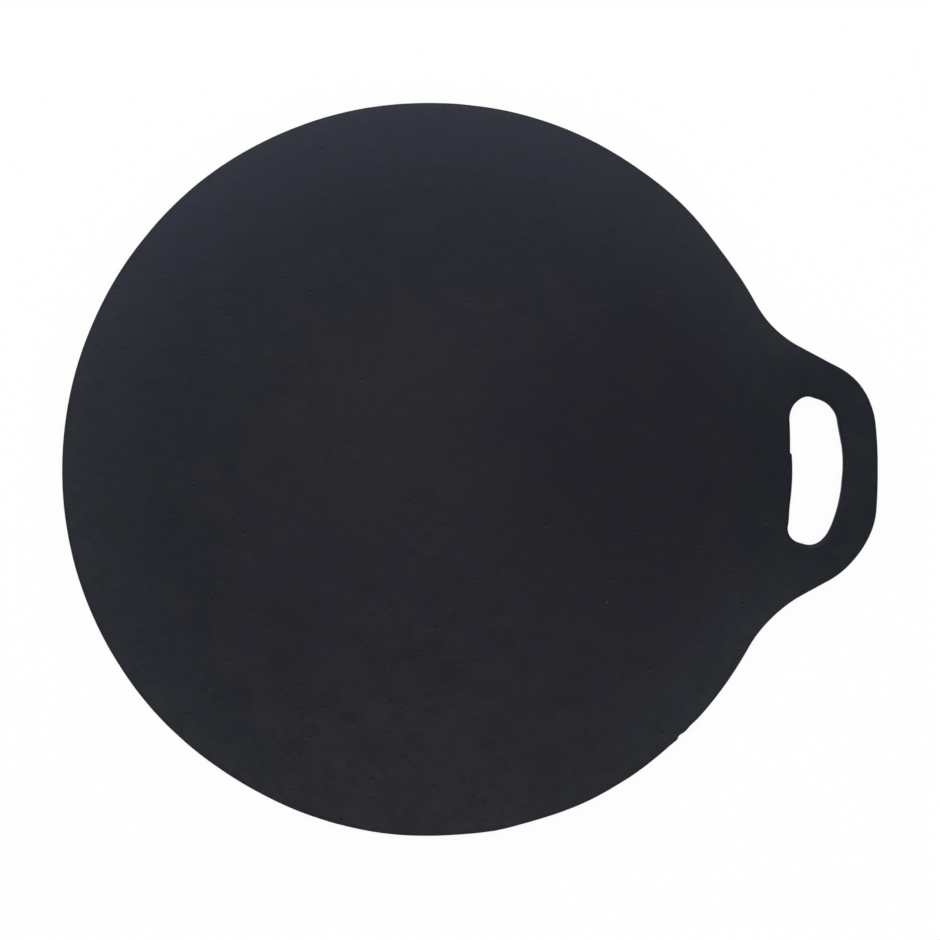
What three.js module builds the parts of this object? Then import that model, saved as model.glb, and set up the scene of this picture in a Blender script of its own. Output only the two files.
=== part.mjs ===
// A round cast iron griddle for flat breads: a flat plate and one slotted ear handle, poured as a
// single casting. Lengths are in millimetres and angles in degrees. The underside lies on z = 0, the
// cooking face looks up +Z, the origin is under the middle of the round plate, and the ear points
// along +X. The far side of the ear is the +Y one, and the near side is the -Y one.

import * as THREE from "three";

// The plate
const plateDiameter = 300;
const plateThickness = 5;
const rimTopRadius = 1.2; // rounding between the cooking face and the rim
const rimFootRadius = 1.8; // rounding between the rim and the underside
const draftAngle = 3; // taper that lets the pattern out of the sand, narrowing to the underside

// The flat on the rim where the pouring gate was ground off
const gateFlatWidth = 18;
const gateFlatBearing = -46.4;

// The ear's outline. Each shoulder is a straight edge that leans in towards the tip, with a hollow
// neck where it leaves the plate and a round corner where it meets the tip.
const earReach = 33.6; // from the plate's rim to the tip
const shoulderLean = 28.4; // between a shoulder and the X axis
const farShoulder = { offset: 44.9, neckRadius: 45, cornerRadius: 31 };
const nearShoulder = { offset: 46.6, neckRadius: 57, cornerRadius: 38 };

// The finger slot. Its inner edge runs round with the plate, and its outer edge is a tighter arc. Each
// end has two corners with a straight flank between them, and each corner's wall is the iron left
// between it and the shoulder, across the ear.
const slotSetback = 1.5; // how far the inner edge lies inside the rim's own circle
const barWidth = 14.3; // of the grip bar, at its middle
const slotOuterRadius = 66.7;
const slotOuterShift = 1.8; // how far the outer edge's arc is centred towards the far side
const farEnd = {
  inner: { wall: 15.5, radius: 8.6 },
  outer: { wall: 16.1, radius: 10 },
};
const nearEnd = {
  inner: { wall: 16.2, radius: 6.5 },
  outer: { wall: 15.8, radius: 9 },
};
const slotTopRadius = 1.5; // rounding between the cooking face and the slot
const slotFootRadius = 1.5; // rounding between the slot and the underside

// How finely the round surfaces are cut into facets
const arcTolerance = 0.04; // between an arc and its facets
const edgeSteps = 4; // facets across one rounded edge
const leastSteps = 2; // facets along the shortest arc
const roundingShare = 0.9; // most of the thickness that an edge's two roundings may take

const ironMaterial = { color: 0x28292f, roughness: 0.6, metalness: 0.2 };

const plateRadius = plateDiameter / 2;
const tipRadius = plateRadius + earReach;
const slotInnerRadius = plateRadius - slotSetback;
const slotOuterX = tipRadius - barWidth - slotOuterRadius; // of the outer edge's centre
const { degToRad } = THREE.MathUtils;

// Outlines are lists of arcs, joined by straight lines, with the iron on the left of the way round.
// An arc that turns left bulges out of the iron, so it tightens when the outline is drawn inwards.
// An arc that turns right is hollow and opens up. Neighbours stay tangent either way.
function arc(x, y, radius, start, end) {
  return { x, y, radius, start, end };
}

// The point at a bearing and a distance from the plate's centre
function polar(bearing, distance) {
  return { x: distance * Math.cos(bearing), y: distance * Math.sin(bearing) };
}

// The same arc across the X axis, run through the other way
function mirrored({ x, y, radius, start, end }) {
  return arc(x, -y, radius, -end, -start);
}

// The neck and the corner of one shoulder, as on the +Y side. The neck touches the plate's circle from
// outside, the corner touches the tip's arc from inside, and both touch the shoulder's line.
function shoulderArcs({ offset, neckRadius, cornerRadius }) {
  const lean = degToRad(shoulderLean);
  const outward = Math.PI / 2 - lean;
  const lineDistance = offset + plateRadius * Math.sin(lean);
  const neckReach = plateRadius + neckRadius;
  const neckBearing = outward - Math.acos((lineDistance + neckRadius) / neckReach);
  const neck = polar(neckBearing, neckReach);
  const cornerReach = tipRadius - cornerRadius;
  const cornerBearing = outward - Math.acos((lineDistance - cornerRadius) / cornerReach);
  const corner = polar(cornerBearing, cornerReach);
  return {
    neckBearing,
    cornerBearing,
    corner: arc(corner.x, corner.y, cornerRadius, cornerBearing, outward),
    neck: arc(neck.x, neck.y, neckRadius, outward + Math.PI, neckBearing + Math.PI),
  };
}

// The outside of the casting, run round to the left
function rimOutline() {
  const far = shoulderArcs(farShoulder);
  const near = shoulderArcs(nearShoulder);
  const gate = degToRad(gateFlatBearing) + 2 * Math.PI;
  const halfGate = Math.asin(gateFlatWidth / 2 / plateRadius);
  return [
    arc(0, 0, plateRadius, far.neckBearing, gate - halfGate),
    arc(0, 0, plateRadius, gate + halfGate, 2 * Math.PI - near.neckBearing),
    mirrored(near.neck),
    mirrored(near.corner),
    arc(0, 0, tipRadius, -near.cornerBearing, far.cornerBearing),
    far.corner,
    far.neck,
  ];
}

// The direction that the straight flank between two corners faces
function flankFacing(inner, outer) {
  const runX = outer.x - inner.x;
  const runY = outer.y - inner.y;
  return Math.atan2(runY, runX) + Math.acos((inner.radius - outer.radius) / Math.hypot(runX, runY));
}

// The two corners at one end of the slot, as on the +Y side. The inner corner touches the inner edge
// from outside, and the outer corner touches the outer edge from inside.
function slotEndArcs(end, shoulder, shift) {
  const inner = { radius: end.inner.radius, y: shoulder.offset - end.inner.wall - end.inner.radius };
  const outer = { radius: end.outer.radius, y: shoulder.offset - end.outer.wall - end.outer.radius };
  const innerReach = slotInnerRadius + inner.radius;
  const outerReach = slotOuterRadius - outer.radius;
  const innerBearing = Math.asin(inner.y / innerReach);
  const outerBearing = Math.asin((outer.y - shift) / outerReach);
  inner.x = innerReach * Math.cos(innerBearing);
  outer.x = slotOuterX + outerReach * Math.cos(outerBearing);
  const flank = flankFacing(inner, outer);
  return {
    innerBearing,
    outerBearing,
    inner: arc(inner.x, inner.y, inner.radius, innerBearing + Math.PI, flank),
    outer: arc(outer.x, outer.y, outer.radius, flank, outerBearing),
  };
}

// The edge of the finger slot, run round to the right, so that the iron is on the left here too
function slotOutline() {
  const far = slotEndArcs(farEnd, farShoulder, slotOuterShift);
  const near = slotEndArcs(nearEnd, nearShoulder, -slotOuterShift);
  return [
    arc(0, 0, slotInnerRadius, -near.innerBearing, far.innerBearing),
    far.inner,
    far.outer,
    arc(slotOuterX, slotOuterShift, slotOuterRadius, far.outerBearing, -near.outerBearing),
    mirrored(near.outer),
    mirrored(near.inner),
  ];
}

// The points of an outline drawn inwards, into the iron, by an inset. Every inset has as many points.
function outlinePoints(arcs, inset) {
  const points = [];
  for (const { x, y, radius, start, end } of arcs) {
    const turn = end - start;
    const facet = 2 * Math.acos(1 - arcTolerance / radius);
    const steps = Math.max(leastSteps, Math.ceil(Math.abs(turn) / facet));
    const drawn = radius - Math.sign(turn) * inset;
    for (let i = 0; i <= steps; i += 1) {
      const angle = start + (turn * i) / steps;
      points.push(new THREE.Vector2(x + drawn * Math.cos(angle), y + drawn * Math.sin(angle)));
    }
  }
  return points;
}

// The section of an edge from the cooking face down to the underside, as insets and heights. Both
// roundings run smoothly into the drafted wall between them.
function edgeSection(topRadius, footRadius) {
  const draft = degToRad(draftAngle);
  const fit = Math.min(1, (roundingShare * plateThickness) / (topRadius + footRadius));
  const top = topRadius * fit;
  const foot = footRadius * fit;
  const wallRun = (plateThickness - top - foot) * Math.sin(draft);
  const footInset = (top * Math.cos(draft) + wallRun - top + foot) / Math.cos(draft);
  const section = [];
  for (let i = 0; i <= edgeSteps; i += 1) {
    const normal = Math.PI / 2 - ((Math.PI / 2 + draft) * i) / edgeSteps;
    section.push({
      inset: top - top * Math.cos(normal),
      height: plateThickness - top + top * Math.sin(normal),
    });
  }
  for (let i = 0; i <= edgeSteps; i += 1) {
    const normal = -draft - ((Math.PI / 2 - draft) * i) / edgeSteps;
    section.push({
      inset: footInset - foot * Math.cos(normal),
      height: foot + foot * Math.sin(normal),
    });
  }
  return section;
}

// The casting's surface: a wall round the rim, a wall round the slot, and the two flat faces
function castingGeometry() {
  const positions = [];
  const indices = [];

  // Adds an outline's wall and returns its topmost and lowest loops
  function addWall(arcs, section) {
    const loops = section.map(({ inset, height }) => {
      const points = outlinePoints(arcs, inset);
      const first = positions.length / 3;
      points.forEach((point) => positions.push(point.x, point.y, height));
      return { points, first };
    });
    for (let level = 1; level < loops.length; level += 1) {
      const upper = loops[level - 1].first;
      const lower = loops[level].first;
      const count = loops[level].points.length;
      for (let i = 0; i < count; i += 1) {
        const next = (i + 1) % count;
        indices.push(upper + i, lower + i, lower + next);
        indices.push(upper + i, lower + next, upper + next);
      }
    }
    return { top: loops[0], foot: loops[loops.length - 1] };
  }

  // Fills the flat face between the rim and the slot
  function addFace(rim, slot, looksUp) {
    const vertex = (i) => (i < rim.points.length ? rim.first + i : slot.first + i - rim.points.length);
    THREE.ShapeUtils.triangulateShape(rim.points, [slot.points]).forEach(([a, b, c]) => {
      const corners = looksUp ? [a, b, c] : [a, c, b];
      indices.push(...corners.map(vertex));
    });
  }

  const rim = addWall(rimOutline(), edgeSection(rimTopRadius, rimFootRadius));
  const slot = addWall(slotOutline(), edgeSection(slotTopRadius, slotFootRadius));
  addFace(rim.top, slot.top, true);
  addFace(rim.foot, slot.foot, false);

  const geometry = new THREE.BufferGeometry();
  geometry.setAttribute("position", new THREE.Float32BufferAttribute(positions, 3));
  geometry.setIndex(indices);
  geometry.computeVertexNormals();
  return geometry;
}

const casting = new THREE.Mesh(castingGeometry(), new THREE.MeshStandardMaterial(ironMaterial));
casting.name = "griddle_casting";

const griddle = new THREE.Group();
griddle.add(casting);

export default griddle;
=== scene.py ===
import math

import bpy
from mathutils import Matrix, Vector, geometry, kdtree, noise


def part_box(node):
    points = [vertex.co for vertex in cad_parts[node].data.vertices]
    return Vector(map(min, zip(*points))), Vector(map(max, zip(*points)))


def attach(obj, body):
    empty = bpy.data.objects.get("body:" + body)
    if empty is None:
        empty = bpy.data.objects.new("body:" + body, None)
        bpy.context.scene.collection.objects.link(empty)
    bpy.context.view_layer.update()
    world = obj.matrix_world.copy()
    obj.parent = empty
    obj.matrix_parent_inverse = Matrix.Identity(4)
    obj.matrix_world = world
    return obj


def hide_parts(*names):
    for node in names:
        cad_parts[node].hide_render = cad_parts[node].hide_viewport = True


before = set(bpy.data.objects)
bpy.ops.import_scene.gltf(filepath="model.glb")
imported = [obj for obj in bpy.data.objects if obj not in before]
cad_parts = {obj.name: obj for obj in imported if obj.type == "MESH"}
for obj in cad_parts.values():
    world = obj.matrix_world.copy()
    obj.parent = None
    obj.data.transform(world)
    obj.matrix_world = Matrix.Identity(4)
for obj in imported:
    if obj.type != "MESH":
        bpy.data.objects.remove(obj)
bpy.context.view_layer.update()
scene = bpy.context.scene
millimetre = 0.001

# The camera hangs above the cooking face and looks straight down, a little to the ear's side of the middle
cameraView = {
    "lens": 85.0,
    "place": (0.01678, -0.00037, 0.9110),
}

camera = bpy.data.objects.new("photoCamera", bpy.data.cameras.new("photoCamera"))
camera.data.lens = cameraView["lens"]
camera.data.sensor_width = 36.0
camera.data.clip_end = 50.0
camera.location = cameraView["place"]
scene.collection.objects.link(camera)
scene.camera = camera
print("camera: looking straight down from", cameraView["place"][2], "m")


# The casting's outline, in millimetres and degrees, as the solid has it
castingShape = {
    "gateFlatWidth": 18.0,
    "gateFlatBearing": -46.4,
    "shoulderLean": 28.4,
    "farShoulder": {"offset": 44.9, "neck": 45.0, "corner": 31.0},
    "nearShoulder": {"offset": 46.6, "neck": 57.0, "corner": 38.0},
    "slotSetback": 1.5,
    "barWidth": 14.3,
    "slotOuterRadius": 66.7,
    "slotOuterShift": 1.8,
    "farEnd": {"innerWall": 15.5, "innerRadius": 8.6, "outerWall": 16.1, "outerRadius": 10.0},
    "nearEnd": {"innerWall": 16.2, "innerRadius": 6.5, "outerWall": 15.8, "outerRadius": 9.0},
    "rimTopRadius": 1.2,
    "rimFootRadius": 1.8,
    "slotTopRadius": 1.5,
    "slotFootRadius": 1.5,
    "draftAngle": 3.0,
}

# Where the file and the grinder went over the edge: x, y, reach and height in millimetres, and a
# negative height is iron taken off
rimMarks = [
    (121, 89, 18, -0.8), (84, 124, 14, -0.2), (0, 150, 22, -0.25), (-92, 119, 26, 0.25),
    (-137, 61, 18, -0.1), (-147, -30, 28, 0.15), (-78, -128, 34, -0.55), (-14, -149, 14, 0.15),
    (27, -147, 10, 0.35), (64, -136, 16, 0.55), (84, -124, 12, 0.3), (100, -111, 2.5, 0.35),
    (105.1, -107, 1.6, 0.32), (102.7, -109.3, 0.9, -0.3), (101.3, -110.6, 0.8, 0.25),
    (130, -75, 18, -0.25), (174, -37, 7, -0.15), (182, -22, 10, 0.25), (175, 35, 10, 0.35),
    (141, 58, 12, -0.15),
]
slotMarks = [
    (147, -22, 3.5, 0.25), (148, -15.5, 4, -0.15), (148.5, -1, 7, 0.15), (147, 21.5, 6, 0.45),
    (154, 29, 3, -0.3), (158, 29, 2, 0.3), (166.5, 21.5, 2.5, -0.25), (168, 14.5, 5, 0.2),
    (169, -4.5, 3, 0.15), (162, -27.5, 3, 0.2), (156.5, -31, 4, -0.15), (151.5, -30, 2.5, 0.15),
]

# How the surface departs from a true plate, in millimetres
castingSurface = {
    "rimSpacing": 0.8,
    "slotSpacing": 0.5,
    "faceSpacing": 1.6,
    "undersideSpacing": 2.4,
    "leastGap": 0.3,  # between two points of an outline, as a share of their spacing
    "faceClearance": 0.75,  # between a flat face's own points and its border, likewise
    "topSteps": 7,
    "wallSteps": 6,
    "footSteps": 6,
    "crown": 0.20,  # how far the cooking face falls away at the rim
    "crownWidth": 30.0,
    "levelBearings": (12.0, 34.0),  # from the ear, where the fall has gone and where it is whole
    "waves": 0.04,
    "waveScale": 0.012,
    "undersideWaves": 0.05,
    "undersideWaveScale": 0.010,
    "skin": 0.03,  # depth of the sand's print
    "skinScales": (0.32, 0.7),
    "roundingDrift": 0.25,  # how unevenly the top rounding was filed, as a share of its radius
    "roundingScale": 0.03,
    "partingRidge": 0.07,  # of the trace where the two halves of the mould met
    "partingHeight": 3.35,
    "partingWidth": 0.28,
    "partingScale": 0.06,
    "fettling": 0.09,  # depth of the grinder's facets on the walls
    "facetScales": (0.09, 0.25),  # along the wall and up it
    "slotStep": 0.72,  # the notch in the slot's inner edge, where the filing stopped
    "slotStepY": 6.4,
    "slotStepFade": 7.0,
    "filedUpTo": (152.0, 27.0),  # x and y where the filing ends
}

low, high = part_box("griddle_casting")
plateRadius = min(-low.x, -low.y, high.y) / millimetre
tipRadius = high.x / millimetre
thickness = high.z / millimetre
slotInnerRadius = plateRadius - castingShape["slotSetback"]
slotOuterX = tipRadius - castingShape["barWidth"] - castingShape["slotOuterRadius"]


# An arc is (x, y, radius, start, end). The iron is on the left of the way round, so an arc that
# turns left bulges out of the iron and one that turns right is hollow.
def mirrored(arc):
    x, y, radius, start, end = arc
    return (x, -y, radius, -end, -start)


def shoulderArcs(shoulder):
    lean = math.radians(castingShape["shoulderLean"])
    outward = math.pi / 2 - lean
    lineDistance = shoulder["offset"] + plateRadius * math.sin(lean)
    neckReach = plateRadius + shoulder["neck"]
    neckBearing = outward - math.acos((lineDistance + shoulder["neck"]) / neckReach)
    cornerReach = tipRadius - shoulder["corner"]
    cornerBearing = outward - math.acos((lineDistance - shoulder["corner"]) / cornerReach)
    neck = (neckReach * math.cos(neckBearing), neckReach * math.sin(neckBearing),
            shoulder["neck"], outward + math.pi, neckBearing + math.pi)
    corner = (cornerReach * math.cos(cornerBearing), cornerReach * math.sin(cornerBearing),
              shoulder["corner"], cornerBearing, outward)
    return neckBearing, cornerBearing, neck, corner


def rimArcs():
    farNeckBearing, farCornerBearing, farNeck, farCorner = shoulderArcs(castingShape["farShoulder"])
    nearNeckBearing, nearCornerBearing, nearNeck, nearCorner = shoulderArcs(castingShape["nearShoulder"])
    gate = math.radians(castingShape["gateFlatBearing"]) + 2 * math.pi
    halfGate = math.asin(castingShape["gateFlatWidth"] / 2 / plateRadius)
    return [
        (0, 0, plateRadius, farNeckBearing, gate - halfGate),
        (0, 0, plateRadius, gate + halfGate, 2 * math.pi - nearNeckBearing),
        mirrored(nearNeck),
        mirrored(nearCorner),
        (0, 0, tipRadius, -nearCornerBearing, farCornerBearing),
        farCorner,
        farNeck,
    ]


def slotEndArcs(end, shoulder, shift):
    innerRadius, outerRadius = end["innerRadius"], end["outerRadius"]
    innerY = shoulder["offset"] - end["innerWall"] - innerRadius
    outerY = shoulder["offset"] - end["outerWall"] - outerRadius
    innerReach = slotInnerRadius + innerRadius
    outerReach = castingShape["slotOuterRadius"] - outerRadius
    innerBearing = math.asin(innerY / innerReach)
    outerBearing = math.asin((outerY - shift) / outerReach)
    innerX = innerReach * math.cos(innerBearing)
    outerX = slotOuterX + outerReach * math.cos(outerBearing)
    runX, runY = outerX - innerX, outerY - innerY
    flank = math.atan2(runY, runX) + math.acos((innerRadius - outerRadius) / math.hypot(runX, runY))
    inner = (innerX, innerY, innerRadius, innerBearing + math.pi, flank)
    outer = (outerX, outerY, outerRadius, flank, outerBearing)
    return innerBearing, outerBearing, inner, outer


def slotArcs():
    shift = castingShape["slotOuterShift"]
    farIn, farOut, farInner, farOuter = slotEndArcs(
        castingShape["farEnd"], castingShape["farShoulder"], shift)
    nearIn, nearOut, nearInner, nearOuter = slotEndArcs(
        castingShape["nearEnd"], castingShape["nearShoulder"], -shift)
    return [
        (0, 0, slotInnerRadius, -nearIn, farIn),
        farInner,
        farOuter,
        (slotOuterX, shift, castingShape["slotOuterRadius"], farOut, -nearOut),
        mirrored(nearOuter),
        mirrored(nearInner),
    ]


# Points along the outline with the direction out of the iron at each, evenly spaced along arcs and
# straight runs alike
def tracedOutline(arcs, spacing):
    trace = []
    leastGap = castingSurface["leastGap"] * spacing

    def addPoint(point, outward):
        if not trace or (point - trace[-1][0]).length > leastGap:
            trace.append((point, outward))

    for index, (x, y, radius, start, end) in enumerate(arcs):
        turn = end - start
        side = math.copysign(1.0, turn)
        steps = max(2, round(abs(turn) * radius / spacing))
        for step in range(steps + 1):
            angle = start + turn * step / steps
            spoke = Vector((math.cos(angle), math.sin(angle)))
            addPoint(Vector((x, y)) + spoke * radius, spoke * side)
        nextX, nextY, nextRadius, nextStart, _ = arcs[(index + 1) % len(arcs)]
        here, outward = trace[-1]
        there = Vector((nextX, nextY)) + nextRadius * Vector((math.cos(nextStart), math.sin(nextStart)))
        runSteps = round((there - here).length / spacing)
        for step in range(1, runSteps):
            addPoint(here.lerp(there, step / runSteps), outward)
    if (trace[0][0] - trace[-1][0]).length < leastGap:
        trace.pop()
    return trace


def smoothStep(value, start, end):
    t = max(0.0, min(1.0, (value - start) / (end - start)))
    return t * t * (3 - 2 * t)


def markHeight(point, marks):
    total = 0.0
    for x, y, reach, height in marks:
        square = (point.x - x) ** 2 + (point.y - y) ** 2
        total += height * math.exp(-square / reach ** 2)
    return total


# The slot's inner edge was filed straight on the far side of a small notch
def slotStepHeight(point):
    endX, endY = castingSurface["filedUpTo"]
    if point.x > endX or point.y > endY:
        return 0.0
    edge = castingSurface["slotStepY"]
    fade = math.exp(-max(0.0, point.y - edge) / castingSurface["slotStepFade"])
    return -castingSurface["slotStep"] * fade * smoothStep(point.y, edge - 0.4, edge + 0.4)


# An edge from the cooking face down to the underside: inset, height, and the surface's direction as
# an outward and an upward part
def edgeSection(topRadius, footRadius):
    draft = math.radians(castingShape["draftAngle"])
    wallRun = (thickness - topRadius - footRadius) * math.sin(draft)
    footInset = (topRadius * math.cos(draft) + wallRun - topRadius + footRadius) / math.cos(draft)
    section = []
    topSteps, wallSteps, footSteps = (castingSurface[k] for k in ("topSteps", "wallSteps", "footSteps"))
    for step in range(topSteps + 1):
        angle = math.pi / 2 - (math.pi / 2 + draft) * step / topSteps
        section.append((topRadius * (1 - math.cos(angle)), thickness - topRadius * (1 - math.sin(angle)),
                        math.cos(angle), math.sin(angle)))
    foot = []
    for step in range(footSteps + 1):
        angle = -draft - (math.pi / 2 - draft) * step / footSteps
        foot.append((footInset - footRadius * math.cos(angle), footRadius * (1 + math.sin(angle)),
                     math.cos(angle), math.sin(angle)))
    topInset, topHeight, outPart, upPart = section[-1]
    for step in range(1, wallSteps):
        t = step / wallSteps
        section.append((topInset + (foot[0][0] - topInset) * t, topHeight + (foot[0][1] - topHeight) * t,
                        outPart, upPart))
    return section + foot


def slowWaves(x, y, scale, layer):
    waves = noise.fractal(Vector((x * scale, y * scale, layer)), 1.0, 2.0, 2)
    return max(-1.0, min(1.0, waves))


# How far the cooking face lies under the plate's full height. It falls away softly at the round rim
# and stays level into the ear.
def faceDrop(x, y):
    distance = math.hypot(x, y)
    crownWidth = castingSurface["crownWidth"]
    crown = max(0.0, min(distance, plateRadius) - plateRadius + crownWidth) / crownWidth
    bearing = abs(math.degrees(math.atan2(y, x)))
    crown = castingSurface["crown"] * crown * crown * smoothStep(bearing, *castingSurface["levelBearings"])
    return crown + castingSurface["waves"] * (1 + slowWaves(x, y, castingSurface["waveScale"], 3.1))


def undersideLift(x, y):
    waves = slowWaves(x, y, castingSurface["undersideWaveScale"], 17.7)
    return castingSurface["undersideWaves"] * (1 + waves)


def skinDepth(x, y, z):
    coarseScale, fineScale = castingSurface["skinScales"]
    coarse = noise.noise(Vector((x, y, z)) * coarseScale)
    fine = noise.noise(Vector((x + 40, y, z)) * fineScale)
    return castingSurface["skin"] * (1 + 0.6 * coarse + 0.4 * fine)


# How far a wall stands out, by the mould's parting line and the grinder's facets
def wallRelief(point, along, height, seed):
    offParting = (height - castingSurface["partingHeight"]) / castingSurface["partingWidth"]
    ridge = castingSurface["partingRidge"] * math.exp(-offParting ** 2)
    ridge *= 0.6 + 0.8 * noise.noise(Vector((along * castingSurface["partingScale"], seed, 5)))
    facetScale, facetRise = castingSurface["facetScales"]
    facet = noise.noise(Vector((point.x * facetScale, point.y * facetScale, height * facetRise + seed)))
    return ridge - castingSurface["fettling"] * max(0.0, facet)


# The mesh. Its vertices are kept in millimetres until the end.
positions = []
edgeDistances = []  # how far each vertex lies inside the outline
faces = []
faceFinishes = []
finishNames = ["cookingFaceIron", "wallIron", "undersideIron", "groundGateIron"]


def addVertex(x, y, height, outPart, upPart, outward, edgeDistance):
    z = height - faceDrop(x, y) * height / thickness + undersideLift(x, y) * (1 - height / thickness)
    depth = skinDepth(x, y, height)
    x -= outward.x * outPart * depth
    y -= outward.y * outPart * depth
    z -= upPart * depth
    positions.append((x, y, z))
    edgeDistances.append(edgeDistance)
    return len(positions) - 1


def addFace(corners, finish):
    faces.append(corners)
    faceFinishes.append(finishNames.index(finish))


def isGateFlat(point):
    half = math.degrees(math.asin(castingShape["gateFlatWidth"] / 2 / plateRadius))
    bearing = math.degrees(math.atan2(point.y, point.x))
    return abs(bearing - castingShape["gateFlatBearing"]) < half and point.length > 0.9 * plateRadius


# Adds the wall of one outline. Returns its topmost and lowest loops, as vertices with their places in
# the plane and the directions out of the iron.
def addWall(trace, topRadius, footRadius, seed):
    loops = []
    along = 0.0
    last = trace[-1][0]
    roundingScale = castingSurface["roundingScale"]
    for point, outward in trace:
        along += (point - last).length
        last = point
        drift = noise.noise(Vector((point.x * roundingScale, point.y * roundingScale, seed)))
        section = edgeSection(topRadius * (1 + castingSurface["roundingDrift"] * drift), footRadius)
        for level, (inset, height, outPart, upPart) in enumerate(section):
            push = outPart * wallRelief(point, along, height, seed)
            place = point - outward * (inset - push)
            if level == len(loops):
                loops.append([])
            vertex = addVertex(place.x, place.y, height, outPart, upPart, outward, inset)
            loops[level].append((vertex, place, outward))
    topHalf = castingSurface["topSteps"] // 2 + 1
    footHalf = len(loops) - 1 - castingSurface["footSteps"] // 2
    count = len(trace)
    for level in range(1, len(loops)):
        for i in range(count):
            following = (i + 1) % count
            if level <= topHalf:
                finish = "cookingFaceIron"
            elif level > footHalf:
                finish = "undersideIron"
            elif isGateFlat(trace[i][0]):
                finish = "groundGateIron"
            else:
                finish = "wallIron"
            corners = (loops[level - 1][i][0], loops[level][i][0],
                       loops[level][following][0], loops[level - 1][following][0])
            addFace(corners, finish)
    return loops[0], loops[-1]


# Fills the flat face between the rim's loop and the slot's with even triangles
def addFlatFace(rimLoop, slotLoop, spacing, height, finish):
    border = rimLoop + slotLoop
    tree = kdtree.KDTree(len(border))
    for index, (_, place, _) in enumerate(border):
        tree.insert((place.x, place.y, 0), index)
    tree.balance()
    looksUp = height > thickness / 2
    places = [place for _, place, _ in border]
    vertices = [vertex for vertex, _, _ in border]
    inset = (rimTrace[0][0] - rimLoop[0][1]).dot(rimLoop[0][2])
    clearance = castingSurface["faceClearance"] * spacing
    rowGap = spacing * math.sqrt(0.75)  # the height of an even triangle
    for row in range(int(2 * tipRadius / rowGap)):
        y = -tipRadius + row * rowGap
        for column in range(int(2 * tipRadius / spacing)):
            x = -tipRadius + (column + 0.5 * (row % 2)) * spacing
            nearest, index, distance = tree.find((x, y, 0))
            outward = border[index][2]
            inside = (x - nearest.x) * outward.x + (y - nearest.y) * outward.y < 0
            if inside and distance > clearance:
                places.append(Vector((x, y)))
                vertices.append(addVertex(x, y, height, 0.0, 1.0 if looksUp else -1.0,
                                          outward, distance + inset))

    loops = [range(len(rimLoop)), range(len(rimLoop), len(border))]
    edges = [(i, i + 1 if i + 1 in loop else loop[0]) for loop in loops for i in loop]
    _, _, triangles, sources, _, _ = geometry.delaunay_2d_cdt(places, edges, [], 0, 1e-6)
    for triangle in triangles:
        corners = [sources[corner][0] for corner in triangle]
        while corners[0] != min(corners):
            corners.append(corners.pop(0))
        # a triangle on three points of one loop is iron only where it turns the way the loop does
        oneLoop = any(all(corner in loop for corner in corners) for loop in loops)
        if oneLoop and corners[1] > corners[2]:
            continue
        if not looksUp:
            corners.reverse()
        addFace([vertices[corner] for corner in corners], finish)


rimTrace = [(point + outward * markHeight(point, rimMarks), outward)
            for point, outward in tracedOutline(rimArcs(), castingSurface["rimSpacing"])]
slotTrace = [(point + outward * (markHeight(point, slotMarks) + slotStepHeight(point)), outward)
             for point, outward in tracedOutline(slotArcs(), castingSurface["slotSpacing"])]
rimTop, rimFoot = addWall(rimTrace, castingShape["rimTopRadius"], castingShape["rimFootRadius"], 2.3)
slotTop, slotFoot = addWall(slotTrace, castingShape["slotTopRadius"], castingShape["slotFootRadius"], 8.9)
addFlatFace(rimTop, slotTop, castingSurface["faceSpacing"], thickness, "cookingFaceIron")
addFlatFace(rimFoot, slotFoot, castingSurface["undersideSpacing"], 0.0, "undersideIron")

castingMesh = bpy.data.meshes.new("castGriddle")
vertices = []
for position in positions:
    scaled = [value * millimetre for value in position]
    vertices.append([max(low[axis], min(high[axis], scaled[axis])) for axis in range(3)])
castingMesh.from_pydata(vertices, [], faces)
castingMesh.polygons.foreach_set("material_index", faceFinishes)
distanceLayer = castingMesh.attributes.new("edgeDistance", "FLOAT", "POINT")
distanceLayer.data.foreach_set("value", [distance * millimetre for distance in edgeDistances])
castingMesh.update()
castingMesh.shade_smooth()
castGriddle = bpy.data.objects.new("castGriddle", castingMesh)
scene.collection.objects.link(castGriddle)
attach(castGriddle, "root")
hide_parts("griddle_casting")
print("casting:", len(castingMesh.vertices), "vertices and", len(castingMesh.polygons), "faces")


# Helpers for node trees
def addNode(tree, kind, x, y, **settings):
    node = tree.nodes.new(kind)
    node.location = (x, y)
    for name, value in settings.items():
        setattr(node, name, value)
    return node


def feed(tree, socket, source):
    if isinstance(source, bpy.types.NodeSocket):
        tree.links.new(source, socket)
    elif source is not None:
        socket.default_value = source


def mathNode(tree, operation, x, y, *sources, clamp=False):
    node = addNode(tree, "ShaderNodeMath", x, y, operation=operation, use_clamp=clamp)
    for socket, source in zip(node.inputs, sources):
        feed(tree, socket, source)
    return node.outputs[0]


def rangeNode(tree, x, y, value, fromLow, fromHigh, toLow=0.0, toHigh=1.0, smooth=True):
    node = addNode(tree, "ShaderNodeMapRange", x, y,
                   interpolation_type="SMOOTHSTEP" if smooth else "LINEAR")
    for socket, source in zip(node.inputs, (value, fromLow, fromHigh, toLow, toHigh)):
        feed(tree, socket, source)
    return node.outputs[0]


def mixColor(tree, x, y, factor, first, second, blend="MIX"):
    node = addNode(tree, "ShaderNodeMix", x, y, data_type="RGBA", blend_type=blend)
    feed(tree, node.inputs[0], factor)
    feed(tree, node.inputs[6], first)
    feed(tree, node.inputs[7], second)
    return node.outputs[2]


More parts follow.
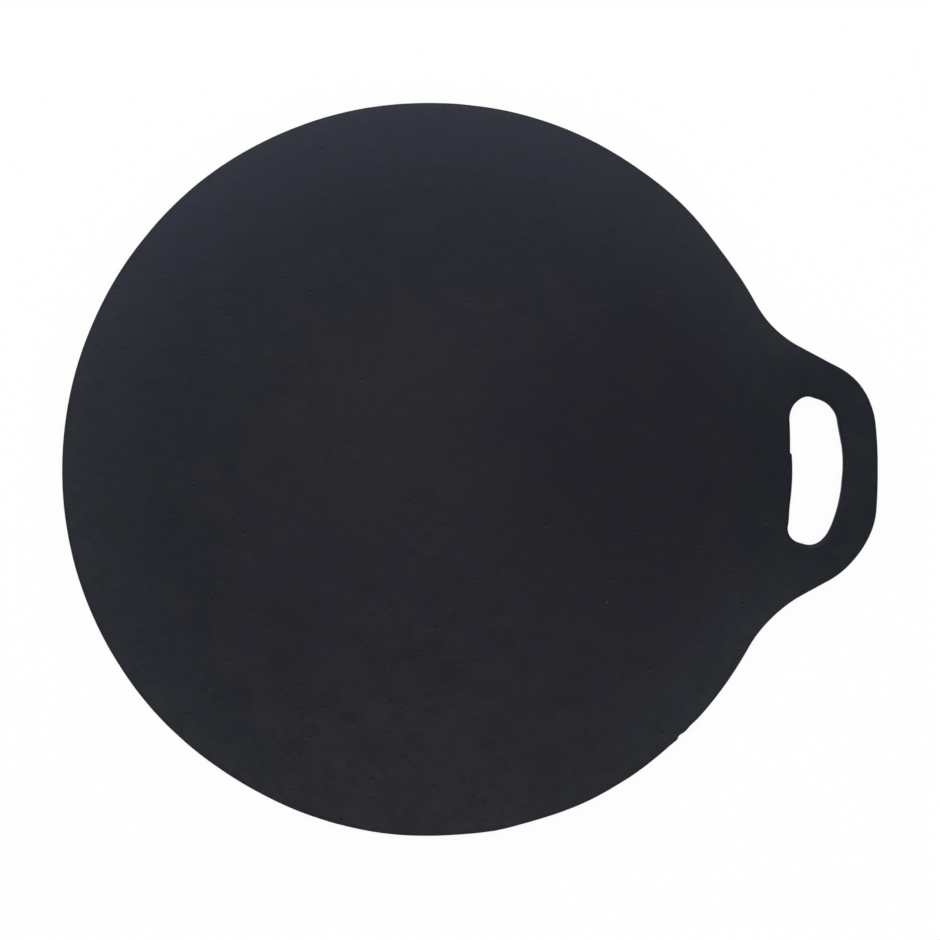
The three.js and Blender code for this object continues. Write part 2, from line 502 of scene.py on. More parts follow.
def noiseNode(tree, x, y, vector, scale, detail, roughness=0.5):
    node = addNode(tree, "ShaderNodeTexNoise", x, y)
    feed(tree, node.inputs["Vector"], vector)
    feed(tree, node.inputs["Scale"], scale)
    node.inputs["Detail"].default_value = detail
    node.inputs["Roughness"].default_value = roughness
    return node.outputs["Fac"]


def newGroup(name, inputs, outputs):
    tree = bpy.data.node_groups.new(name, "ShaderNodeTree")
    for socketName, kind, value in inputs:
        socket = tree.interface.new_socket(name=socketName, in_out="INPUT", socket_type="NodeSocket" + kind)
        if value is not None:
            socket.default_value = value
    for socketName, kind in outputs:
        tree.interface.new_socket(name=socketName, in_out="OUTPUT", socket_type="NodeSocket" + kind)
    entry = addNode(tree, "NodeGroupInput", -1200, 0)
    leave = addNode(tree, "NodeGroupOutput", 600, 0)
    return tree, entry.outputs, leave.inputs


# Places a group. Inputs that aren't given here take what the finish has under their names.
def placeGroup(tree, group, x, y, finish, **values):
    node = addNode(tree, "ShaderNodeGroup", x, y, node_tree=group)
    for socket in node.inputs:
        feed(tree, socket, values.get(socket.name, finish.get(socket.name)))
    return node.outputs


# Tones that every finish shares
ironTones = {
    "darkSpot": (0.002, 0.0005, 0.0055, 1),
    "hollow": (0.003, 0.003, 0.004, 1),
    "paintedPitHighlight": (0.042, 0.042, 0.048, 1),
    "bareIron": (0.045, 0.044, 0.045, 1),
    "speck": (0.13, 0.13, 0.14, 1),
}

# Other values that every finish shares
commonIron = {
    "pitHighlightShift": (0.0001, 0.0005, 0.0),  # from a pit to the painted highlight beside it, where light would catch the pit's wall
    "pitShade": 0.6,
    "hollowRoughness": 0.08,  # more in the hollows between grains
    "wornRoughness": -0.12,  # less where the iron is bare
    "wornMetal": 0.6,
    "thinFilm": 0.85,  # what is left of the oil's film where it is thin
    "wipedStart": 0.0004,  # no film nearer to the edge than this
    "filmRoughness": 0.15,
    "filmIndex": 1.33,
    "ironReflection": 0.2,
    "speckHeight": 0.6,
}


# The print that moulding sand leaves: fine grains, rounder pebbles, and softer lumps under both
def makeSandGrain():
    tree, entry, leave = newGroup(
        "sandGrain",
        [("vector", "Vector", None), ("grainSize", "Float", 0.0008), ("pebbles", "Float", 0.4),
         ("lumps", "Float", 0.3), ("coarsePlace", "Vector", (-0.045, -0.095, 0.0)),
         ("coarseReach", "Float", 0.13), ("coarseGain", "Float", 0.6)],
        [("height", "Float"), ("hollows", "Float"), ("coarse", "Float")])
    scale = mathNode(tree, "DIVIDE", -950, 100, 1.0, entry["grainSize"])
    grains = noiseNode(tree, -700, 200, entry["vector"], scale, 3.0, 0.45)
    pebbleScale = mathNode(tree, "MULTIPLY", -950, -50, scale, 0.75)
    pebble = addNode(tree, "ShaderNodeTexVoronoi", -700, 0, feature="F1")
    feed(tree, pebble.inputs["Vector"], entry["vector"])
    feed(tree, pebble.inputs["Scale"], pebbleScale)
    pebbleHeight = mathNode(tree, "SUBTRACT", -480, 0, 1.0, pebble.outputs["Distance"])
    lumpScale = mathNode(tree, "MULTIPLY", -950, -200, scale, 0.16)
    lumps = noiseNode(tree, -700, -250, entry["vector"], lumpScale, 2.0)
    withPebbles = mathNode(tree, "MULTIPLY_ADD", -250, 100, pebbleHeight, entry["pebbles"], grains)
    height = mathNode(tree, "MULTIPLY_ADD", -20, 50, lumps, entry["lumps"], withPebbles)
    away = addNode(tree, "ShaderNodeVectorMath", -950, -400, operation="DISTANCE")
    feed(tree, away.inputs[0], entry["vector"])
    feed(tree, away.inputs[1], entry["coarsePlace"])
    coarse = rangeNode(tree, -700, -450, away.outputs["Value"], entry["coarseReach"], 0.0)
    gain = mathNode(tree, "MULTIPLY_ADD", -450, -400, coarse, entry["coarseGain"], 1.0)
    feed(tree, leave["height"], mathNode(tree, "MULTIPLY", 200, 50, height, gain))
    feed(tree, leave["coarse"], coarse)
    feed(tree, leave["hollows"], rangeNode(tree, 200, -150, grains, 0.5, 0.28))
    return tree


# How much of an effect there is at a place: all of it in the middle and none past its reach, with an
# edge that wanders
def spotMask(tree, x, y, vector, place, reach, wander, start=0.0):
    distance = addNode(tree, "ShaderNodeVectorMath", x, y, operation="DISTANCE")
    feed(tree, distance.inputs[0], vector)
    feed(tree, distance.inputs[1], place)
    frayed = mathNode(tree, "ADD", x + 180, y, distance.outputs["Value"], wander)
    return rangeNode(tree, x + 360, y, frayed, reach, start)


# The baked-on oil and painted light: a colour that turns from the middle of the plate to its outer ring,
# its rim, lighter as a painted sheen, and the grip, with a darker spot toward the ear, painted light toward
# the rim on the -Y side, a pale band at the very edge that is a painted sheen too, two stains, drifts of hue
# and soft patches. It puts out a mask of where the film is thin as well.
def makeSeasoningAndPaintedLight():
    tree, entry, leave = newGroup(
        "seasoningAndPaintedLight",
        [("vector", "Vector", None), ("edgeDistance", "Float", 0.0),
         ("middlePlace", "Vector", (0.028, -0.046, 0.0)), ("middleColor", "Color", (0.015, 0.015, 0.018, 1)),
         ("ringStart", "Float", 0.098), ("ringEnd", "Float", 0.138),
         ("ringColor", "Color", (0.013, 0.015, 0.019, 1)),
         ("rimWidth", "Float", 0.045), ("rimColor", "Color", (0.015, 0.017, 0.021, 1)),
         ("paintedSheenBandWidth", "Float", 0.012), ("paintedSheenBandAmount", "Float", 0.0),
         ("paintedSheenBandColor", "Color", (0.026, 0.028, 0.032, 1)),
         ("gripPlace", "Vector", (0.175, 0.0, 0.0)), ("gripStart", "Float", 0.035),
         ("gripReach", "Float", 0.075), ("gripColor", "Color", (0.013, 0.015, 0.019, 1)),
         ("darkSpotPlace", "Vector", (0.090, 0.010, 0.0)), ("darkSpotReach", "Float", 0.095),
         ("darkSpotDepth", "Float", 0.0),
         ("paintedLitSpotPlace", "Vector", (-0.012, -0.172, 0.0)), ("paintedLitSpotReach", "Float", 0.135),
         ("paintedLitSpotColor", "Color", (0.014, 0.014, 0.017, 1)),
         ("rosePlace", "Vector", (-0.028, 0.022, 0.0)), ("roseReach", "Float", 0.062),
         ("roseColor", "Color", (0.016, 0.013, 0.012, 1)),
         ("brownPlace", "Vector", (0.044, -0.028, 0.0)), ("brownReach", "Float", 0.030),
         ("brownColor", "Color", (0.016, 0.013, 0.010, 1)),
         ("stainDepth", "Float", 0.0), ("hueDrift", "Float", 0.5), ("patchSize", "Float", 0.022),
         ("patchDepth", "Float", 0.2)],
        [("color", "Color"), ("thin", "Float")])
    vector = entry["vector"]
    scale = mathNode(tree, "DIVIDE", -950, 0, 1.0, entry["patchSize"])
    patches = noiseNode(tree, -760, 0, vector, scale, 5.0, 0.6)
    wander = mathNode(tree, "MULTIPLY_ADD", -560, 0, patches, 0.06, -0.03)
    driftScale = mathNode(tree, "MULTIPLY", -950, 1000, scale, 2.2)
    drift = noiseNode(tree, -760, 1000, vector, driftScale, 4.0, 0.6)
    drift = rangeNode(tree, -560, 1000, drift, 0.35, 0.65, -0.5, 0.5, smooth=False)
    drift = mathNode(tree, "MULTIPLY", -380, 1000, drift, entry["hueDrift"])
    softDrift = mathNode(tree, "MULTIPLY", -380, 1150, drift, 0.45)

    # the middle, the ring, the rim, lighter as a painted sheen, and the grip
    middle = spotMask(tree, -760, 300, vector, entry["middlePlace"], entry["ringEnd"], wander,
                      entry["ringStart"])
    middle = mathNode(tree, "ADD", -200, 300, drift, middle, clamp=True)
    hue = mixColor(tree, -20, 250, middle, entry["ringColor"], entry["middleColor"])
    nearRim = rangeNode(tree, -380, 520, entry["edgeDistance"], entry["rimWidth"], 0.0)
    hue = mixColor(tree, 60, 400, nearRim, hue, entry["rimColor"])
    grip = spotMask(tree, -760, 760, vector, entry["gripPlace"], entry["gripReach"], wander,
                    entry["gripStart"])
    hue = mixColor(tree, 140, 500, grip, hue, entry["gripColor"])

    # painted light toward the rim on the -Y side, the two stains and the darker spot
    paintedLitSpot = spotMask(tree, -760, 1300, vector, entry["paintedLitSpotPlace"], entry["paintedLitSpotReach"], wander)
    paintedLitSpot = mathNode(tree, "MULTIPLY_ADD", -200, 1300, paintedLitSpot, 1.3, drift, clamp=True)
    hue = mixColor(tree, 160, 900, paintedLitSpot, hue, entry["paintedLitSpotColor"])
    for row, stain in enumerate(("rose", "brown")):
        y = 1600 + 300 * row
        cover = spotMask(tree, -760, y, vector, entry[stain + "Place"], entry[stain + "Reach"], wander)
        cover = mathNode(tree, "MULTIPLY_ADD", -200, y, cover, 1.4, softDrift, clamp=True)
        cover = mathNode(tree, "MULTIPLY", -20, y, cover, entry["stainDepth"])
        hue = mixColor(tree, 220 + 60 * row, 900, cover, hue, entry[stain + "Color"])
    darkSpot = spotMask(tree, -760, 2200, vector, entry["darkSpotPlace"], entry["darkSpotReach"], wander, 0.02)
    darkSpot = mathNode(tree, "MULTIPLY", -200, 2200, darkSpot, entry["darkSpotDepth"])
    hue = mixColor(tree, 340, 900, darkSpot, hue, ironTones["darkSpot"])

    # the pale band along the edge, a painted sheen, which the grip doesn't have
    paintedSheenBand = rangeNode(tree, -380, 2500, entry["edgeDistance"], entry["paintedSheenBandWidth"], 0.0)
    offGrip = mathNode(tree, "SUBTRACT", -380, 2650, 1.0, grip)
    paintedSheenBand = mathNode(tree, "MULTIPLY", -200, 2500, paintedSheenBand, offGrip)
    paintedSheenBand = mathNode(tree, "MULTIPLY", -20, 2500, paintedSheenBand, entry["paintedSheenBandAmount"])
    hue = mixColor(tree, 380, 900, paintedSheenBand, hue, entry["paintedSheenBandColor"])

    # soft patches with a fine stipple
    fineScale = mathNode(tree, "MULTIPLY", -950, -200, scale, 5.5)
    stipple = noiseNode(tree, -760, -220, vector, fineScale, 3.0, 0.6)
    mixed = mathNode(tree, "ADD", -480, -60, stipple, patches)
    darkening = rangeNode(tree, -280, -60, mixed, 0.75, 1.25)
    depth = mathNode(tree, "MULTIPLY", -100, -60, darkening, entry["patchDepth"])
    shade = mixColor(tree, 400, 200, depth, hue, ironTones["hollow"])
    feed(tree, leave["color"], shade)
    feed(tree, leave["thin"], rangeNode(tree, 120, -160, mixed, 1.05, 0.8))
    return tree


# Bare iron that shows through along an edge, broken up by the grain
def makeEdgeWear():
    tree, entry, leave = newGroup(
        "edgeWear",
        [("vector", "Vector", None), ("edgeDistance", "Float", 0.0), ("wearWidth", "Float", 0.0012),
         ("raggedness", "Float", 0.6), ("gapScale", "Float", 260.0)],
        [("wear", "Float")])
    nearness = rangeNode(tree, -700, 150, entry["edgeDistance"], entry["wearWidth"], 0.0)
    breakUp = noiseNode(tree, -700, -100, entry["vector"], entry["gapScale"], 4.0, 0.65)
    gaps = rangeNode(tree, -450, -100, breakUp, 0.42, 0.62)
    kept = mathNode(tree, "MULTIPLY", -220, -100, gaps, entry["raggedness"])
    plain = mathNode(tree, "SUBTRACT", -220, 60, 1.0, entry["raggedness"])
    cover = mathNode(tree, "ADD", 0, 0, kept, plain, clamp=True)
    feed(tree, leave["wear"], mathNode(tree, "MULTIPLY", 220, 100, nearness, cover))
    return tree


# Single pale specks, in some of the cells, more of them where the sand was coarse
def makePaleSpecks():
    tree, entry, leave = newGroup(
        "paleSpecks",
        [("vector", "Vector", None), ("spacing", "Float", 0.009), ("size", "Float", 0.0004),
         ("speckShare", "Float", 0.3), ("coarse", "Float", 0.0)],
        [("specks", "Float")])
    scale = mathNode(tree, "DIVIDE", -950, 100, 1.0, entry["spacing"])
    cells = addNode(tree, "ShaderNodeTexVoronoi", -700, 100)
    feed(tree, cells.inputs["Vector"], entry["vector"])
    feed(tree, cells.inputs["Scale"], scale)
    reach = mathNode(tree, "MULTIPLY", -480, 200, cells.outputs["Distance"], entry["spacing"])
    dot = rangeNode(tree, -250, 200, reach, entry["size"], 0.0)
    parts = addNode(tree, "ShaderNodeSeparateColor", -480, -50)
    tree.links.new(cells.outputs["Color"], parts.inputs[0])
    likely = mathNode(tree, "MULTIPLY_ADD", -480, -250, entry["coarse"], 0.8, 0.2)
    likely = mathNode(tree, "MULTIPLY", -250, -250, likely, entry["speckShare"])
    chosen = mathNode(tree, "LESS_THAN", -250, -50, parts.outputs[0], likely)
    strength = mathNode(tree, "MULTIPLY", -20, 50, chosen, parts.outputs[1])
    feed(tree, leave["specks"], mathNode(tree, "MULTIPLY", 200, 100, dot, strength))
    return tree


# Small pits where a grain of sand let go: short crooked hollows in two directions, in clusters, and
# thickest where the sand was coarse
def makeCastPits():
    tree, entry, leave = newGroup(
        "castPits",
        [("vector", "Vector", None), ("spacing", "Float", 0.0024), ("size", "Float", 0.00056),
         ("pitShare", "Float", 0.4), ("clusterSize", "Float", 0.016), ("coarse", "Float", 0.0),
         ("crookScale", "Float", 550.0), ("crookReach", "Vector", (0.0030, 0.0030, 0.0030))],
        [("depth", "Float")])
    crook = addNode(tree, "ShaderNodeTexNoise", -950, 500)
    feed(tree, crook.inputs["Vector"], entry["vector"])
    feed(tree, crook.inputs["Scale"], entry["crookScale"])
    bend = addNode(tree, "ShaderNodeVectorMath", -760, 500, operation="MULTIPLY_ADD")
    tree.links.new(crook.outputs["Color"], bend.inputs[0])
    feed(tree, bend.inputs[1], entry["crookReach"])
    feed(tree, bend.inputs[2], entry["vector"])

    clusterScale = mathNode(tree, "DIVIDE", -950, -300, 1.0, entry["clusterSize"])
    clusters = noiseNode(tree, -760, -300, entry["vector"], clusterScale, 3.0, 0.6)
    clusters = rangeNode(tree, -560, -300, clusters, 0.40, 0.62, 0.2, 1.4)
    likely = mathNode(tree, "MULTIPLY_ADD", -560, -500, entry["coarse"], 0.8, 0.3)
    likely = mathNode(tree, "MULTIPLY", -380, -400, likely, clusters)
    likely = mathNode(tree, "MULTIPLY", -200, -400, likely, entry["pitShare"])

    scale = mathNode(tree, "DIVIDE", -950, 100, 1.0, entry["spacing"])
    depth = None
    for row, stretch in enumerate(((0.45, 1.0, 1.0), (1.0, 0.5, 1.0))):
        y = 300 - 350 * row
        drawn = addNode(tree, "ShaderNodeVectorMath", -560, y, operation="MULTIPLY")
        tree.links.new(bend.outputs[0], drawn.inputs[0])
        drawn.inputs[1].default_value = stretch
        cells = addNode(tree, "ShaderNodeTexVoronoi", -380, y)
        tree.links.new(drawn.outputs[0], cells.inputs["Vector"])
        feed(tree, cells.inputs["Scale"], scale)
        parts = addNode(tree, "ShaderNodeSeparateColor", -200, y - 100)
        tree.links.new(cells.outputs["Color"], parts.inputs[0])
        reach = mathNode(tree, "MULTIPLY", -200, y + 100, cells.outputs["Distance"], entry["spacing"])
        ownSize = mathNode(tree, "MULTIPLY_ADD", 0, y + 100, parts.outputs[1], 0.8, 0.3)
        ownSize = mathNode(tree, "MULTIPLY", 150, y + 100, ownSize, entry["size"])
        pit = rangeNode(tree, 300, y + 100, reach, ownSize, 0.0)
        chosen = mathNode(tree, "LESS_THAN", 0, y - 100, parts.outputs[0], likely)
        pit = mathNode(tree, "MULTIPLY", 450, y, pit, chosen)
        depth = pit if depth is None else mathNode(tree, "MAXIMUM", 600, y, depth, pit)
    feed(tree, leave["depth"], depth)
    return tree


# Fine lines that a grinding wheel leaves along an edge
def makeGrindLines():
    tree, entry, leave = newGroup(
        "grindLines",
        [("vector", "Vector", None), ("lineLength", "Float", 0.012), ("lineGap", "Float", 0.0003)],
        [("height", "Float")])
    alongScale = mathNode(tree, "DIVIDE", -950, 100, 1.0, entry["lineLength"])
    acrossScale = mathNode(tree, "DIVIDE", -950, -100, 1.0, entry["lineGap"])
    stretch = addNode(tree, "ShaderNodeCombineXYZ", -720, 0)
    feed(tree, stretch.inputs[0], alongScale)
    feed(tree, stretch.inputs[1], alongScale)
    feed(tree, stretch.inputs[2], acrossScale)
    stretched = addNode(tree, "ShaderNodeVectorMath", -500, 0, operation="MULTIPLY")
    feed(tree, stretched.inputs[0], entry["vector"])
    tree.links.new(stretch.outputs[0], stretched.inputs[1])
    feed(tree, leave["height"], noiseNode(tree, -250, 0, stretched.outputs[0], 1.0, 3.0, 0.6))
    return tree


sandGrain = makeSandGrain()
seasoningAndPaintedLight = makeSeasoningAndPaintedLight()
edgeWear = makeEdgeWear()
paleSpecks = makePaleSpecks()
castPits = makeCastPits()
grindLines = makeGrindLines()

# The finishes. Lengths are in metres. What one doesn't say is as its groups have it, and so two have
# no stains and three have no darker spot.
ironFinishes = {
    "cookingFaceIron": {
        "middleColor": (0.0123, 0.0096, 0.0164, 1),
        "ringColor": (0.0067, 0.0106, 0.0149, 1),
        "rimColor": (0.0128, 0.0168, 0.0226, 1),
        "gripColor": (0.0050, 0.0097, 0.0132, 1),
        "paintedLitSpotColor": (0.0168, 0.0162, 0.0212, 1),
        "roseColor": (0.0140, 0.0118, 0.0134, 1),
        "brownColor": (0.0124, 0.0106, 0.0090, 1),
        "paintedSheenBandAmount": 0.26,
        "stainDepth": 0.8, "hueDrift": 0.65, "darkSpotDepth": 0.5, "patchDepth": 0.33,
        "grainSize": 0.0012, "pebbles": 0.4, "lumps": 5.0, "relief": 0.00005, "hollowShade": 0.12,
        "pitShare": 1.0, "pitDepth": 4.5, "pitHighlightAmount": 0.45,
        "dryRoughness": 0.68, "oiledRoughness": 0.62, "film": 0.34, "wipedWidth": 0.0022,
        "wearWidth": 0.0010, "wearAmount": 0.15, "speckShare": 0.50, "grinding": 0.0,
    },
    "wallIron": {
        "middleColor": (0.0125, 0.0125, 0.0150, 1),
        "ringColor": (0.0112, 0.0122, 0.0150, 1),
        "rimColor": (0.0116, 0.0140, 0.0188, 1),
        "gripColor": (0.0090, 0.0102, 0.0128, 1),
        "paintedLitSpotColor": (0.0130, 0.0130, 0.0155, 1),
        "hueDrift": 0.5, "patchDepth": 0.25,
        "grainSize": 0.0010, "pebbles": 0.6, "lumps": 1.0, "relief": 0.00009, "hollowShade": 0.25,
        "pitShare": 0.8, "pitDepth": 3.0, "pitHighlightAmount": 0.4,
        "dryRoughness": 0.66, "oiledRoughness": 0.55, "film": 0.22, "wipedWidth": 0.0006,
        "wearWidth": 0.0012, "wearAmount": 0.15, "speckShare": 0.25, "grinding": 0.35,
    },
    "undersideIron": {
        "middleColor": (0.0135, 0.0130, 0.0140, 1),
        "ringColor": (0.0112, 0.0118, 0.0140, 1),
        "rimColor": (0.0116, 0.0134, 0.0165, 1),
        "gripColor": (0.0100, 0.0108, 0.0130, 1),
        "paintedLitSpotColor": (0.0140, 0.0138, 0.0155, 1),
        "roseColor": (0.0190, 0.0150, 0.0135, 1),
        "brownColor": (0.0200, 0.0150, 0.0120, 1),
        "paintedSheenBandAmount": 0.15,
        "stainDepth": 0.6, "hueDrift": 0.7, "patchDepth": 0.35,
        "grainSize": 0.0014, "pebbles": 0.8, "lumps": 1.6, "relief": 0.00009, "hollowShade": 0.25,
        "pitShare": 1.2, "pitDepth": 3.5, "pitHighlightAmount": 0.5,
        "dryRoughness": 0.72, "oiledRoughness": 0.58, "film": 0.16, "wipedWidth": 0.0022,
        "wearWidth": 0.0015, "wearAmount": 0.30, "speckShare": 0.40, "grinding": 0.0,
    },
    "groundGateIron": {
        "middleColor": (0.0132, 0.0134, 0.0156, 1),
        "ringColor": (0.0124, 0.0132, 0.0157, 1),
        "rimColor": (0.0130, 0.0147, 0.0186, 1),
        "gripColor": (0.0124, 0.0132, 0.0157, 1),
        "paintedLitSpotColor": (0.0136, 0.0138, 0.0162, 1),
        "hueDrift": 0.4, "patchDepth": 0.20,
        "grainSize": 0.0014, "pebbles": 0.2, "lumps": 0.3, "relief": 0.00005, "hollowShade": 0.20,
        "pitShare": 0.3, "pitDepth": 2.0, "pitHighlightAmount": 0.3,
        "dryRoughness": 0.60, "oiledRoughness": 0.50, "film": 0.21, "wipedWidth": 0.0006,
        "wearWidth": 0.0015, "wearAmount": 0.30, "speckShare": 0.20, "grinding": 1.0,
    },
}


def makeIron(name, finish):
    material = bpy.data.materials.new(name)
    material.use_nodes = True
    tree = material.node_tree
    tree.nodes.clear()
    output = addNode(tree, "ShaderNodeOutputMaterial", 1300, 0)
    shader = addNode(tree, "ShaderNodeBsdfPrincipled", 1000, 0)
    tree.links.new(shader.outputs[0], output.inputs["Surface"])
    vector = addNode(tree, "ShaderNodeTexCoord", -900, 0).outputs["Object"]
    distance = addNode(tree, "ShaderNodeAttribute", -900, -400, attribute_name="edgeDistance").outputs["Fac"]

    grain = placeGroup(tree, sandGrain, -600, 100, finish, vector=vector)
    coarse = grain["coarse"]
    oilAndPaintedLight = placeGroup(tree, seasoningAndPaintedLight, -600, 400, finish, vector=vector, edgeDistance=distance)
    wear = placeGroup(tree, edgeWear, -600, -300, finish, vector=vector, edgeDistance=distance)["wear"]
    specks = placeGroup(tree, paleSpecks, -600, -550, finish, vector=vector, coarse=coarse)["specks"]
    pits = placeGroup(tree, castPits, -600, -700, finish, vector=vector, coarse=coarse)["depth"]
    shifted = addNode(tree, "ShaderNodeVectorMath", -800, -1100, operation="ADD")
    tree.links.new(vector, shifted.inputs[0])
    shifted.inputs[1].default_value = commonIron["pitHighlightShift"]
    besidePits = placeGroup(tree, castPits, -600, -1100, finish, vector=shifted.outputs[0],
                            coarse=coarse)["depth"]
    # painted highlights beside the pits, where their walls would catch the light
    pitHighlights = mathNode(tree, "SUBTRACT", -400, -1000, besidePits, pits, clamp=True)
    pitHighlights = mathNode(tree, "MULTIPLY", -300, -1000, pitHighlights, finish["pitHighlightAmount"])
    lines = placeGroup(tree, grindLines, -600, -900, finish, vector=vector)["height"]

    worn = mathNode(tree, "MULTIPLY", -300, -300, wear, finish["wearAmount"])
    sunken = mathNode(tree, "MULTIPLY", -420, 250, grain["hollows"], finish["hollowShade"])
    sunken = mathNode(tree, "MULTIPLY_ADD", -300, 250, pits, commonIron["pitShade"], sunken, clamp=True)
    color = mixColor(tree, -200, 400, sunken, oilAndPaintedLight["color"], ironTones["hollow"])
    color = mixColor(tree, -130, 500, pitHighlights, color, ironTones["paintedPitHighlight"])
    color = mixColor(tree, -60, 380, worn, color, ironTones["bareIron"])
    color = mixColor(tree, 180, 360, specks, color, ironTones["speck"])
    tree.links.new(color, shader.inputs["Base Color"])

    roughness = rangeNode(tree, -60, 100, oilAndPaintedLight["thin"], 0.0, 1.0, finish["oiledRoughness"],
                          finish["dryRoughness"], smooth=False)
    roughness = mathNode(tree, "MULTIPLY_ADD", 180, 100, grain["hollows"], commonIron["hollowRoughness"],
                         roughness)
    roughness = mathNode(tree, "MULTIPLY_ADD", 400, 100, worn, commonIron["wornRoughness"], roughness)
    tree.links.new(roughness, shader.inputs["Roughness"])
    metal = mathNode(tree, "MULTIPLY", 400, -100, worn, commonIron["wornMetal"])
    tree.links.new(metal, shader.inputs["Metallic"])
    film = rangeNode(tree, 180, -100, oilAndPaintedLight["thin"], 0.0, 1.0, finish["film"],
                     commonIron["thinFilm"] * finish["film"], smooth=False)
    wiped = rangeNode(tree, 180, -250, distance, commonIron["wipedStart"], finish["wipedWidth"])
    tree.links.new(mathNode(tree, "MULTIPLY", 400, -200, film, wiped), shader.inputs["Coat Weight"])
    shader.inputs["Coat Roughness"].default_value = commonIron["filmRoughness"]
    shader.inputs["Coat IOR"].default_value = commonIron["filmIndex"]
    shader.inputs["Specular IOR Level"].default_value = commonIron["ironReflection"]

    height = mathNode(tree, "MULTIPLY_ADD", -60, -650, lines, finish["grinding"], grain["height"])
    height = mathNode(tree, "MULTIPLY_ADD", 180, -650, specks, commonIron["speckHeight"], height)
    height = mathNode(tree, "MULTIPLY_ADD", 400, -650, pits, -finish["pitDepth"], height)
    bump = addNode(tree, "ShaderNodeBump", 700, -400)
    bump.inputs["Strength"].default_value = 1.0
    bump.inputs["Distance"].default_value = finish["relief"]
    tree.links.new(height, bump.inputs["Height"])
    tree.links.new(bump.outputs[0], shader.inputs["Normal"])
    return material


for name in finishNames:
    castingMesh.materials.append(makeIron(name, ironFinishes[name]))
print("finishes:", ", ".join(finishNames))


# A pale table that the griddle lies on, a soft studio round it, and the lamps
studio = {
    "tableSize": 60.0,
    "tableColor": (0.92, 0.92, 0.92, 1),
    "tableGlow": 0.93,  # how much of the table the camera sees as plain white, without the shadow
    "ambient": (0.68, 0.68, 0.69, 1),
    "ceiling": (0.10, 0.10, 0.11, 1),
    "horizonTop": 0.20,  # sine of the elevation where the white horizon has turned into the ceiling
}

# The sheen card shows only in reflections, and so lights nothing
lamps = {
    "keyLamp": {
        "place": (-0.55, 1.36, 1.63), "size": (2.2, 1.2), "power": 18.0,
        "color": (1.0, 1.0, 1.0), "onlyReflected": False,
    },
    "fillLamp": {
        "place": (1.05, -0.85, 1.60), "size": (1.6, 1.0), "power": 7.0,
        "color": (1.0, 0.98, 0.96), "onlyReflected": False,
    },
    "sheenCard": {
        "place": (-0.12, 0.90, 1.50), "size": (1.4, 0.6), "power": 13.6,
        "color": (0.76, 0.85, 1.18), "onlyReflected": True,
    },
}

# A curved glowing panel over the far side. Its reflection is the cool sheen that follows the rim.
sheenPanel = {
    "centre": (-0.028, 0.0),
    "height": 1.5,
    "innerRadius": 0.315,
    "outerRadius": 0.54,
    "bearings": (35.0, 177.0),  # degrees from +X
    "glow": (0.42, 0.52, 1.05, 1),
    "strength": 1.85,
    "steps": 48,
}


def seenBy(tree, x, y):
    path = addNode(tree, "ShaderNodeLightPath", x, y)
    inMirror = mathNode(tree, "MAXIMUM", x + 200, y - 100, path.outputs["Is Glossy Ray"],
                        path.outputs["Is Transmission Ray"])
    return path.outputs["Is Camera Ray"], inMirror


def makeTable():
    bpy.ops.mesh.primitive_plane_add(size=studio["tableSize"])
    table = bpy.context.object
    table.name = "paleTable"
    material = bpy.data.materials.new("paleTable")
    material.use_nodes = True
    tree = material.node_tree
    tree.nodes.clear()
    output = addNode(tree, "ShaderNodeOutputMaterial", 600, 0)
    diffuse = addNode(tree, "ShaderNodeBsdfDiffuse", 100, -150)
    diffuse.inputs["Color"].default_value = studio["tableColor"]
    glow = addNode(tree, "ShaderNodeEmission", 100, 50)
    glow.inputs["Strength"].default_value = 1.0
    mix = addNode(tree, "ShaderNodeMixShader", 350, 0)
    onCamera, inMirror = seenBy(tree, -500, 200)
    direct = mathNode(tree, "MAXIMUM", -100, 200, onCamera, inMirror)
    feed(tree, mix.inputs[0], mathNode(tree, "MULTIPLY", 100, 200, direct, studio["tableGlow"]))
    tree.links.new(diffuse.outputs[0], mix.inputs[1])
    tree.links.new(glow.outputs[0], mix.inputs[2])
    tree.links.new(mix.outputs[0], output.inputs["Surface"])
    table.data.materials.append(material)


def makeSurroundings():
    world = bpy.data.worlds.new("studio")
    scene.world = world
    world.use_nodes = True
    tree = world.node_tree
    tree.nodes.clear()
    output = addNode(tree, "ShaderNodeOutputWorld", 700, 0)
    background = addNode(tree, "ShaderNodeBackground", 450, 0)
    tree.links.new(background.outputs[0], output.inputs["Surface"])
    direction = addNode(tree, "ShaderNodeTexCoord", -800, -200).outputs["Generated"]
    parts = addNode(tree, "ShaderNodeSeparateXYZ", -600, -200)
    tree.links.new(direction, parts.inputs[0])
    rise = rangeNode(tree, -400, -200, parts.outputs["Z"], 0.0, studio["horizonTop"])
    mirrorColor = mixColor(tree, -150, -200, rise, (1, 1, 1, 1), studio["ceiling"])
    onCamera, inMirror = seenBy(tree, -500, 200)
    unseen = mixColor(tree, 50, -50, inMirror, studio["ambient"], mirrorColor)
    tree.links.new(mixColor(tree, 250, 0, onCamera, unseen, (1, 1, 1, 1)), background.inputs["Color"])
    background.inputs["Strength"].default_value = 1.0


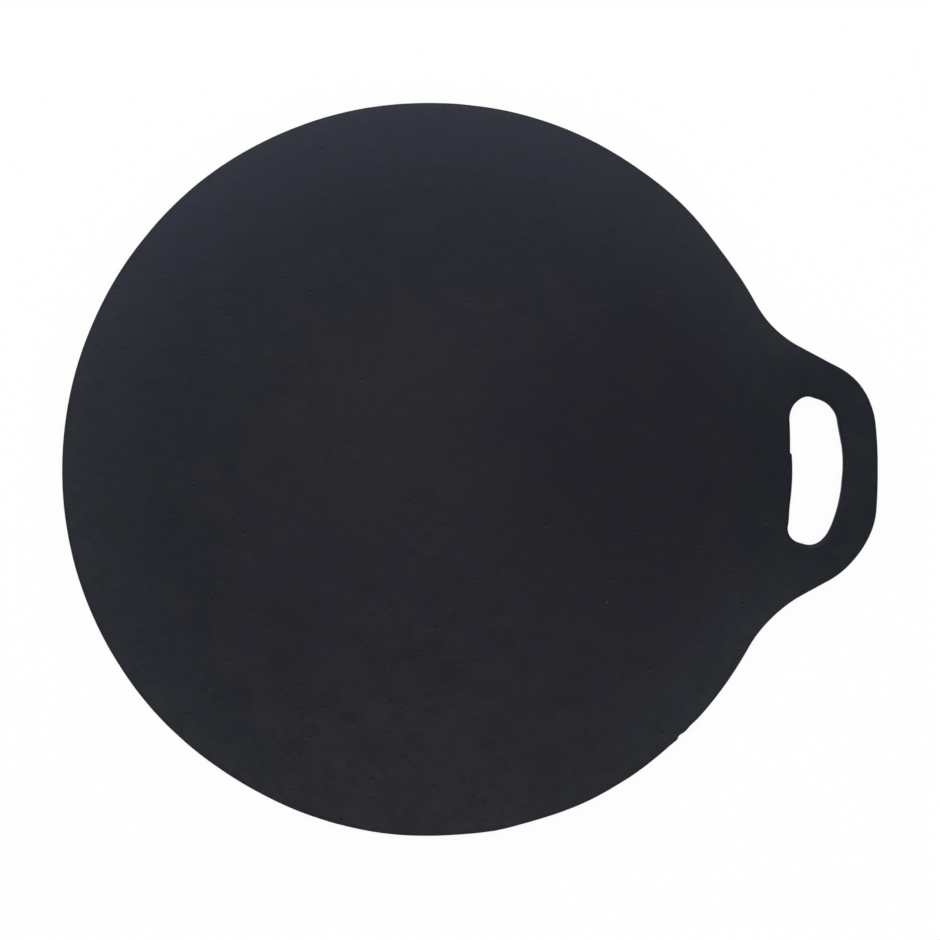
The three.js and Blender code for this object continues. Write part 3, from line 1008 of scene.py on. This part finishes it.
def makeSheenPanel():
    first, last = (math.radians(bearing) for bearing in sheenPanel["bearings"])
    centreX, centreY = sheenPanel["centre"]
    corners = []
    for step in range(sheenPanel["steps"] + 1):
        bearing = first + (last - first) * step / sheenPanel["steps"]
        for radius in (sheenPanel["innerRadius"], sheenPanel["outerRadius"]):
            corners.append((centreX + radius * math.cos(bearing), centreY + radius * math.sin(bearing),
                            sheenPanel["height"]))
    quads = [(2 * i, 2 * i + 1, 2 * i + 3, 2 * i + 2) for i in range(sheenPanel["steps"])]
    mesh = bpy.data.meshes.new("sheenPanel")
    mesh.from_pydata(corners, [], quads)
    material = bpy.data.materials.new("sheenPanel")
    material.use_nodes = True
    tree = material.node_tree
    tree.nodes.clear()
    output = addNode(tree, "ShaderNodeOutputMaterial", 400, 0)
    glow = addNode(tree, "ShaderNodeEmission", 150, 0)
    glow.inputs["Color"].default_value = sheenPanel["glow"]
    place = addNode(tree, "ShaderNodeTexCoord", -900, 0).outputs["Object"]
    parts = addNode(tree, "ShaderNodeSeparateXYZ", -700, 0)
    tree.links.new(place, parts.inputs[0])
    bearing = mathNode(tree, "ARCTAN2", -500, 0, parts.outputs["Y"], parts.outputs["X"])
    middle = (first + last) / 2
    away = mathNode(tree, "ABSOLUTE", -150, 0, mathNode(tree, "SUBTRACT", -320, 0, bearing, middle))
    fade = rangeNode(tree, 0, 0, away, (last - first) / 2, 0.3 * (last - first) / 2, 0.0,
                     sheenPanel["strength"])
    tree.links.new(fade, glow.inputs["Strength"])
    tree.links.new(glow.outputs[0], output.inputs["Surface"])
    mesh.materials.append(material)
    panel = bpy.data.objects.new("sheenPanel", mesh)
    scene.collection.objects.link(panel)
    panel.visible_camera = False
    panel.visible_diffuse = False
    panel.visible_shadow = False


def makeLamp(name, lamp):
    light = bpy.data.lights.new(name, "AREA")
    light.shape = "RECTANGLE"
    light.size, light.size_y = lamp["size"]
    light.energy = lamp["power"]
    light.color = lamp["color"]
    holder = bpy.data.objects.new(name, light)
    holder.location = lamp["place"]
    holder.rotation_euler = Vector(lamp["place"]).to_track_quat("Z", "Y").to_euler()
    holder.visible_camera = False
    holder.visible_diffuse = not lamp["onlyReflected"]
    scene.collection.objects.link(holder)


makeTable()
makeSurroundings()
makeSheenPanel()
for name, lamp in lamps.items():
    makeLamp(name, lamp)
scene.view_settings.view_transform = "Standard"
print("studio: table, surroundings and", len(lamps), "lamps")
